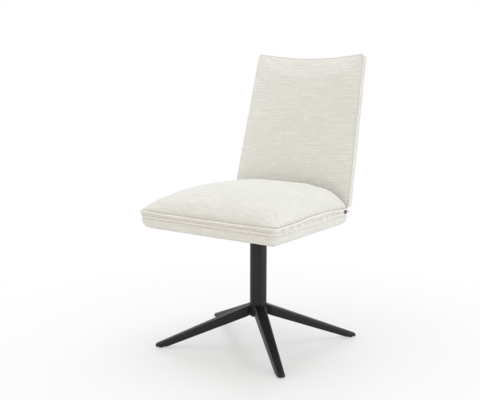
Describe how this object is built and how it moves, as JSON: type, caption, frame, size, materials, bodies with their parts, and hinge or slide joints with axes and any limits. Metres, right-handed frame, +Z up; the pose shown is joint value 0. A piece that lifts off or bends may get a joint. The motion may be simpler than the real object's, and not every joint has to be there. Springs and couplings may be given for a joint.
{
  "type": "swivel dining chair",
  "caption": "Upholstered dining chair whose domed seat and slim leaning back turn on a plain column with a splayed star base.",
  "frame": {"origin": "on the floor, on the axis of the column that the seat turns about", "axes": "+Z up along the column; -Y to the front of the seat; +X to the sitter's left"},
  "size_m": [0.5331, 0.5495, 0.8812],
  "materials": {
    "base_coating": "fine black powder coat",
    "cover_fabric": "off-white slub weave",
    "bare_steel": "zinc plated",
    "nylon": "black nylon",
    "timber": "birch plywood",
    "webbing": "black elastic webbing",
    "foam": "cut foam",
    "zip_tape_fabric": "woven tape",
    "zip_coil": "off-white nylon coil",
    "zip_metal": "dark nickel"
  },
  "bodies": {
    "base": {"column_tube": "base_coating", "column_end_cap": "nylon", "upper_bush": "nylon", "lower_bush": "nylon", "thrust_washer": "nylon", "leg_a": "base_coating", "leg_b": "base_coating", "leg_c": "base_coating", "leg_d": "base_coating", "glides": "nylon"},
    "seat": {"spindle": "bare_steel", "circlip": "bare_steel", "retaining_washer": "bare_steel", "spindle_collar": "base_coating", "swivel_plate": "base_coating", "plate_bolts": "bare_steel", "plate_washers": "bare_steel", "tee_nuts": "bare_steel", "seat_board": "timber", "seat_frame": "timber", "webbing_straps": "webbing", "dust_cover": "webbing", "seat_border": "cover_fabric", "seat_flange": "cover_fabric", "seat_welt": "cover_fabric", "seat_cushion": "cover_fabric", "back_panel": "timber", "back_foam": "foam", "back_rear_cushion": "cover_fabric", "back_front_cushion": "cover_fabric", "back_piping": "cover_fabric", "back_brackets": "bare_steel", "panel_screws": "bare_steel", "foot_bolts": "bare_steel", "foot_nuts": "bare_steel", "zip_tape": "zip_tape_fabric", "zip_chain": "zip_coil", "zip_stops": "zip_coil"},
    "zip_slider": {"zip_slider": "zip_metal"},
    "zip_pull": {"zip_pull": "zip_metal"}
  },
  "joints": [
    {"name": "seat_swivel", "type": "hinge", "parent": "base", "child": "seat", "pos_m": [0, 0, 0.349], "axis": [0, 0, 1], "continuous": true},
    {"name": "zip_travel", "type": "slide", "parent": "seat", "child": "zip_slider", "axis": [0.0829, -0.9966, 0], "range_m": [0, 0.3541]},
    {"name": "pull_hinge", "type": "hinge", "parent": "zip_slider", "child": "zip_pull", "pos_m": [0.22138, 0.13759, 0.4104], "axis": [0, 0, -1], "range_deg": [0, 170]}
  ]
}
